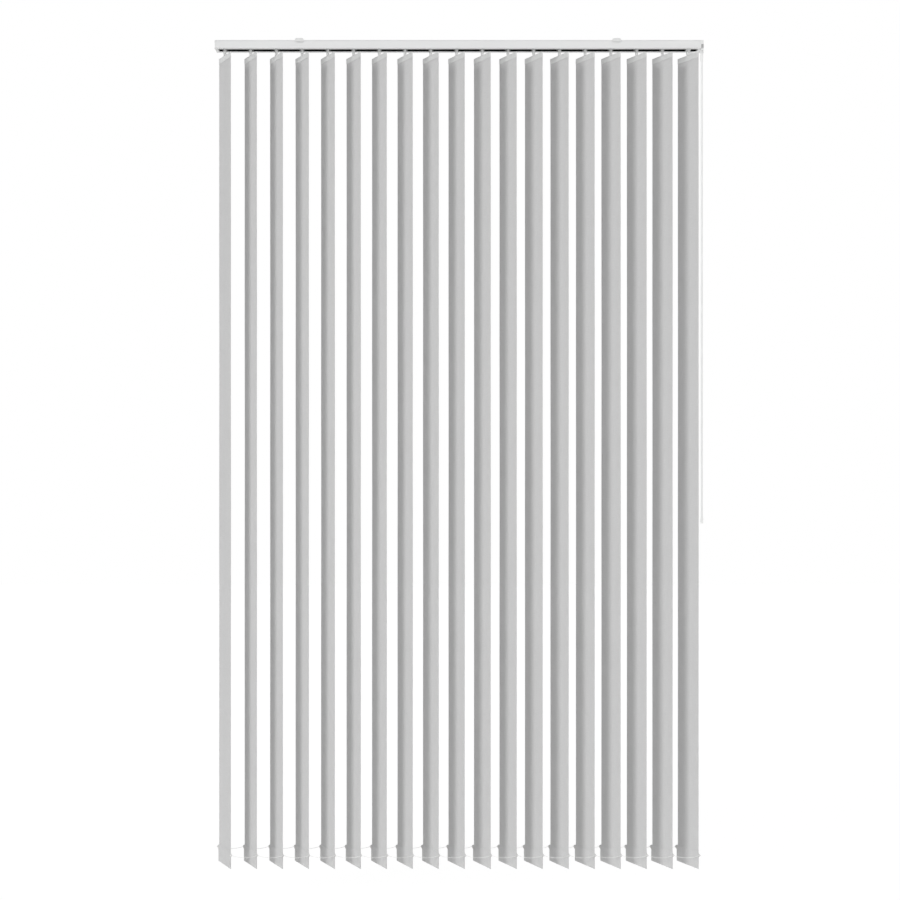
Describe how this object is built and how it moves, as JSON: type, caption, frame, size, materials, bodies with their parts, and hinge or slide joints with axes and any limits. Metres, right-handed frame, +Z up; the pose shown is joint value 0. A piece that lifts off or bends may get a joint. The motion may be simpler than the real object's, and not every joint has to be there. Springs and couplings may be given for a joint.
{
  "type": "vertical blind",
  "caption": "Vertical blind of light grey fabric vanes on carriers in a white headrail, linked by bead chains below, turned and drawn aside by a wand.",
  "frame": {"origin": "middle of the line between the two clip screws, on the ceiling plane at the clip tops", "axes": "+X along the headrail to the wand's end, -Y towards the room, +Z up"},
  "size_m": [1.4844, 0.0923, 2.509],
  "materials": {
    "rail_paint": "satin white paint",
    "cap_plastic": "fine moulded grain",
    "clip_plastic": "satin",
    "rod_metal": "drawn",
    "carrier_plastic": "moulded",
    "vane_fabric": "light grey plain weave",
    "chain_plastic": "gloss",
    "wand_plastic": "satin gloss"
  },
  "bodies": {
    "rail": {"headrail": "rail_paint", "end_cap_left": "cap_plastic", "end_cap_right": "cap_plastic", "ceiling_clip_left": "clip_plastic", "ceiling_clip_right": "clip_plastic", "carrier_01": "carrier_plastic"},
    "carrier_02": {"carrier_02": "carrier_plastic"},
    "carrier_03": {"carrier_03": "carrier_plastic"},
    "carrier_04": {"carrier_04": "carrier_plastic"},
    "carrier_05": {"carrier_05": "carrier_plastic"},
    "carrier_06": {"carrier_06": "carrier_plastic"},
    "carrier_07": {"carrier_07": "carrier_plastic"},
    "carrier_08": {"carrier_08": "carrier_plastic"},
    "carrier_09": {"carrier_09": "carrier_plastic"},
    "carrier_10": {"carrier_10": "carrier_plastic"},
    "carrier_11": {"carrier_11": "carrier_plastic"},
    "carrier_12": {"carrier_12": "carrier_plastic"},
    "carrier_13": {"carrier_13": "carrier_plastic"},
    "carrier_14": {"carrier_14": "carrier_plastic"},
    "carrier_15": {"carrier_15": "carrier_plastic"},
    "carrier_16": {"carrier_16": "carrier_plastic"},
    "carrier_17": {"carrier_17": "carrier_plastic"},
    "carrier_18": {"carrier_18": "carrier_plastic"},
    "carrier_19": {"carrier_19": "carrier_plastic", "wand_arm": "wand_plastic"},
    "vane_01": {"vane_01": "vane_fabric"},
    "vane_02": {"vane_02": "vane_fabric"},
    "vane_03": {"vane_03": "vane_fabric"},
    "vane_04": {"vane_04": "vane_fabric"},
    "vane_05": {"vane_05": "vane_fabric"},
    "vane_06": {"vane_06": "vane_fabric"},
    "vane_07": {"vane_07": "vane_fabric"},
    "vane_08": {"vane_08": "vane_fabric"},
    "vane_09": {"vane_09": "vane_fabric"},
    "vane_10": {"vane_10": "vane_fabric"},
    "vane_11": {"vane_11": "vane_fabric"},
    "vane_12": {"vane_12": "vane_fabric"},
    "vane_13": {"vane_13": "vane_fabric"},
    "vane_14": {"vane_14": "vane_fabric"},
    "vane_15": {"vane_15": "vane_fabric"},
    "vane_16": {"vane_16": "vane_fabric"},
    "vane_17": {"vane_17": "vane_fabric"},
    "vane_18": {"vane_18": "vane_fabric"},
    "vane_19": {"vane_19": "vane_fabric"},
    "tilt_rod": {"tilt_rod": "rod_metal"},
    "front_chain": {"front_chain": "chain_plastic"},
    "back_chain": {"back_chain": "chain_plastic"},
    "wand_hook": {"wand_hook": "wand_plastic"},
    "wand": {"wand_socket": "wand_plastic", "wand_rod": "wand_plastic", "wand_cap": "wand_plastic"}
  },
  "joints": [
    {"name": "traverse", "type": "slide", "parent": "rail", "child": "carrier_19", "axis": [-1, 0, 0], "range_m": [0, 1.0854], "deforming": ["front_chain", "back_chain"]},
    {"name": "tilt", "type": "hinge", "parent": "rail", "child": "vane_01", "pos_m": [-0.7093, 0, -0.02], "axis": [0, 0, 1], "range_deg": [-114, 48]},
    {"name": "traverse_02", "type": "slide", "parent": "rail", "child": "carrier_02", "axis": [-1, 0, 0], "range_m": [0, 0.0604]},
    {"name": "tilt_02", "type": "hinge", "parent": "carrier_02", "child": "vane_02", "pos_m": [-0.631, 0, -0.02], "axis": [0, 0, 1], "range_deg": [-114, 48]},
    {"name": "traverse_03", "type": "slide", "parent": "rail", "child": "carrier_03", "axis": [-1, 0, 0], "range_m": [0, 0.1207]},
    {"name": "tilt_03", "type": "hinge", "parent": "carrier_03", "child": "vane_03", "pos_m": [-0.5527, 0, -0.02], "axis": [0, 0, 1], "range_deg": [-114, 48]},
    {"name": "traverse_04", "type": "slide", "parent": "rail", "child": "carrier_04", "axis": [-1, 0, 0], "range_m": [0, 0.181]},
    {"name": "tilt_04", "type": "hinge", "parent": "carrier_04", "child": "vane_04", "pos_m": [-0.4744, 0, -0.02], "axis": [0, 0, 1], "range_deg": [-114, 48]},
    {"name": "traverse_05", "type": "slide", "parent": "rail", "child": "carrier_05", "axis": [-1, 0, 0], "range_m": [0, 0.2413]},
    {"name": "tilt_05", "type": "hinge", "parent": "carrier_05", "child": "vane_05", "pos_m": [-0.3961, 0, -0.02], "axis": [0, 0, 1], "range_deg": [-114, 48]},
    {"name": "traverse_06", "type": "slide", "parent": "rail", "child": "carrier_06", "axis": [-1, 0, 0], "range_m": [0, 0.3016]},
    {"name": "tilt_06", "type": "hinge", "parent": "carrier_06", "child": "vane_06", "pos_m": [-0.3178, 0, -0.02], "axis": [0, 0, 1], "range_deg": [-114, 48]},
    {"name": "traverse_07", "type": "slide", "parent": "rail", "child": "carrier_07", "axis": [-1, 0, 0], "range_m": [0, 0.3619]},
    {"name": "tilt_07", "type": "hinge", "parent": "carrier_07", "child": "vane_07", "pos_m": [-0.2395, 0, -0.02], "axis": [0, 0, 1], "range_deg": [-114, 48]},
    {"name": "traverse_08", "type": "slide", "parent": "rail", "child": "carrier_08", "axis": [-1, 0, 0], "range_m": [0, 0.4222]},
    {"name": "tilt_08", "type": "hinge", "parent": "carrier_08", "child": "vane_08", "pos_m": [-0.1612, 0, -0.02], "axis": [0, 0, 1], "range_deg": [-114, 48]},
    {"name": "traverse_09", "type": "slide", "parent": "rail", "child": "carrier_09", "axis": [-1, 0, 0], "range_m": [0, 0.4825]},
    {"name": "tilt_09", "type": "hinge", "parent": "carrier_09", "child": "vane_09", "pos_m": [-0.0829, 0, -0.02], "axis": [0, 0, 1], "range_deg": [-114, 48]},
    {"name": "traverse_10", "type": "slide", "parent": "rail", "child": "carrier_10", "axis": [-1, 0, 0], "range_m": [0, 0.5428]},
    {"name": "tilt_10", "type": "hinge", "parent": "carrier_10", "child": "vane_10", "pos_m": [-0.0046, 0, -0.02], "axis": [0, 0, 1], "range_deg": [-114, 48]},
    {"name": "traverse_11", "type": "slide", "parent": "rail", "child": "carrier_11", "axis": [-1, 0, 0], "range_m": [0, 0.6031]},
    {"name": "tilt_11", "type": "hinge", "parent": "carrier_11", "child": "vane_11", "pos_m": [0.0737, 0, -0.02], "axis": [0, 0, 1], "range_deg": [-114, 48]},
    {"name": "traverse_12", "type": "slide", "parent": "rail", "child": "carrier_12", "axis": [-1, 0, 0], "range_m": [0, 0.6634]},
    {"name": "tilt_12", "type": "hinge", "parent": "carrier_12", "child": "vane_12", "pos_m": [0.152, 0, -0.02], "axis": [0, 0, 1], "range_deg": [-114, 48]},
    {"name": "traverse_13", "type": "slide", "parent": "rail", "child": "carrier_13", "axis": [-1, 0, 0], "range_m": [0, 0.7237]},
    {"name": "tilt_13", "type": "hinge", "parent": "carrier_13", "child": "vane_13", "pos_m": [0.2303, 0, -0.02], "axis": [0, 0, 1], "range_deg": [-114, 48]},
    {"name": "traverse_14", "type": "slide", "parent": "rail", "child": "carrier_14", "axis": [-1, 0, 0], "range_m": [0, 0.784]},
    {"name": "tilt_14", "type": "hinge", "parent": "carrier_14", "child": "vane_14", "pos_m": [0.3086, 0, -0.02], "axis": [0, 0, 1], "range_deg": [-114, 48]},
    {"name": "traverse_15", "type": "slide", "parent": "rail", "child": "carrier_15", "axis": [-1, 0, 0], "range_m": [0, 0.8443]},
    {"name": "tilt_15", "type": "hinge", "parent": "carrier_15", "child": "vane_15", "pos_m": [0.3869, 0, -0.02], "axis": [0, 0, 1], "range_deg": [-114, 48]},
    {"name": "traverse_16", "type": "slide", "parent": "rail", "child": "carrier_16", "axis": [-1, 0, 0], "range_m": [0, 0.9046]},
    {"name": "tilt_16", "type": "hinge", "parent": "carrier_16", "child": "vane_16", "pos_m": [0.4652, 0, -0.02], "axis": [0, 0, 1], "range_deg": [-114, 48]},
    {"name": "traverse_17", "type": "slide", "parent": "rail", "child": "carrier_17", "axis": [-1, 0, 0], "range_m": [0, 0.9649]},
    {"name": "tilt_17", "type": "hinge", "parent": "carrier_17", "child": "vane_17", "pos_m": [0.5435, 0, -0.02], "axis": [0, 0, 1], "range_deg": [-114, 48]},
    {"name": "traverse_18", "type": "slide", "parent": "rail", "child": "carrier_18", "axis": [-1, 0, 0], "range_m": [0, 1.0252]},
    {"name": "tilt_18", "type": "hinge", "parent": "carrier_18", "child": "vane_18", "pos_m": [0.6218, 0, -0.02], "axis": [0, 0, 1], "range_deg": [-114, 48]},
    {"name": "tilt_19", "type": "hinge", "parent": "carrier_19", "child": "vane_19", "pos_m": [0.7001, 0, -0.02], "axis": [0, 0, 1], "range_deg": [-114, 48]},
    {"name": "rod_turn", "type": "hinge", "parent": "rail", "child": "tilt_rod", "pos_m": [0, 0.0103, -0.0185], "axis": [1, 0, 0], "range_deg": [-1368, 576]},
    {"name": "front_chain_turn", "type": "hinge", "parent": "vane_01", "child": "front_chain", "pos_m": [-0.68243, -0.04122, -2.4665], "axis": [0, 0, 1], "range_deg": [-48, 114]},
    {"name": "back_chain_turn", "type": "hinge", "parent": "vane_01", "child": "back_chain", "pos_m": [-0.73857, 0.0449, -2.4665], "axis": [0, 0, 1], "range_deg": [-48, 114]},
    {"name": "wand_swing", "type": "hinge", "parent": "carrier_19", "child": "wand_hook", "pos_m": [0.73413, -0.03998, -0.0479], "axis": [-1, 0, 0], "range_deg": [0, 45]},
    {"name": "wand_spin", "type": "hinge", "parent": "wand_hook", "child": "wand", "pos_m": [0.73413, -0.03998, -0.0479], "axis": [0, 0, 1], "range_deg": [-1368, 576]}
  ],
  "couplings": [
    {"joint": "traverse_02", "follows": "traverse", "ratio": 0.055556},
    {"joint": "tilt_02", "follows": "tilt", "ratio": 1},
    {"joint": "traverse_03", "follows": "traverse", "ratio": 0.11111},
    {"joint": "tilt_03", "follows": "tilt", "ratio": 1},
    {"joint": "traverse_04", "follows": "traverse", "ratio": 0.16667},
    {"joint": "tilt_04", "follows": "tilt", "ratio": 1},
    {"joint": "traverse_05", "follows": "traverse", "ratio": 0.22222},
    {"joint": "tilt_05", "follows": "tilt", "ratio": 1},
    {"joint": "traverse_06", "follows": "traverse", "ratio": 0.27778},
    {"joint": "tilt_06", "follows": "tilt", "ratio": 1},
    {"joint": "traverse_07", "follows": "traverse", "ratio": 0.33333},
    {"joint": "tilt_07", "follows": "tilt", "ratio": 1},
    {"joint": "traverse_08", "follows": "traverse", "ratio": 0.38889},
    {"joint": "tilt_08", "follows": "tilt", "ratio": 1},
    {"joint": "traverse_09", "follows": "traverse", "ratio": 0.44444},
    {"joint": "tilt_09", "follows": "tilt", "ratio": 1},
    {"joint": "traverse_10", "follows": "traverse", "ratio": 0.5},
    {"joint": "tilt_10", "follows": "tilt", "ratio": 1},
    {"joint": "traverse_11", "follows": "traverse", "ratio": 0.55556},
    {"joint": "tilt_11", "follows": "tilt", "ratio": 1},
    {"joint": "traverse_12", "follows": "traverse", "ratio": 0.61111},
    {"joint": "tilt_12", "follows": "tilt", "ratio": 1},
    {"joint": "traverse_13", "follows": "traverse", "ratio": 0.66667},
    {"joint": "tilt_13", "follows": "tilt", "ratio": 1},
    {"joint": "traverse_14", "follows": "traverse", "ratio": 0.72222},
    {"joint": "tilt_14", "follows": "tilt", "ratio": 1},
    {"joint": "traverse_15", "follows": "traverse", "ratio": 0.77778},
    {"joint": "tilt_15", "follows": "tilt", "ratio": 1},
    {"joint": "traverse_16", "follows": "traverse", "ratio": 0.83333},
    {"joint": "tilt_16", "follows": "tilt", "ratio": 1},
    {"joint": "traverse_17", "follows": "traverse", "ratio": 0.88889},
    {"joint": "tilt_17", "follows": "tilt", "ratio": 1},
    {"joint": "traverse_18", "follows": "traverse", "ratio": 0.94444},
    {"joint": "tilt_18", "follows": "tilt", "ratio": 1},
    {"joint": "tilt_19", "follows": "tilt", "ratio": 1},
    {"joint": "rod_turn", "follows": "tilt", "ratio": 12},
    {"joint": "front_chain_turn", "follows": "tilt", "ratio": -1},
    {"joint": "back_chain_turn", "follows": "tilt", "ratio": -1},
    {"joint": "wand_spin", "follows": "tilt", "ratio": 12}
  ]
}
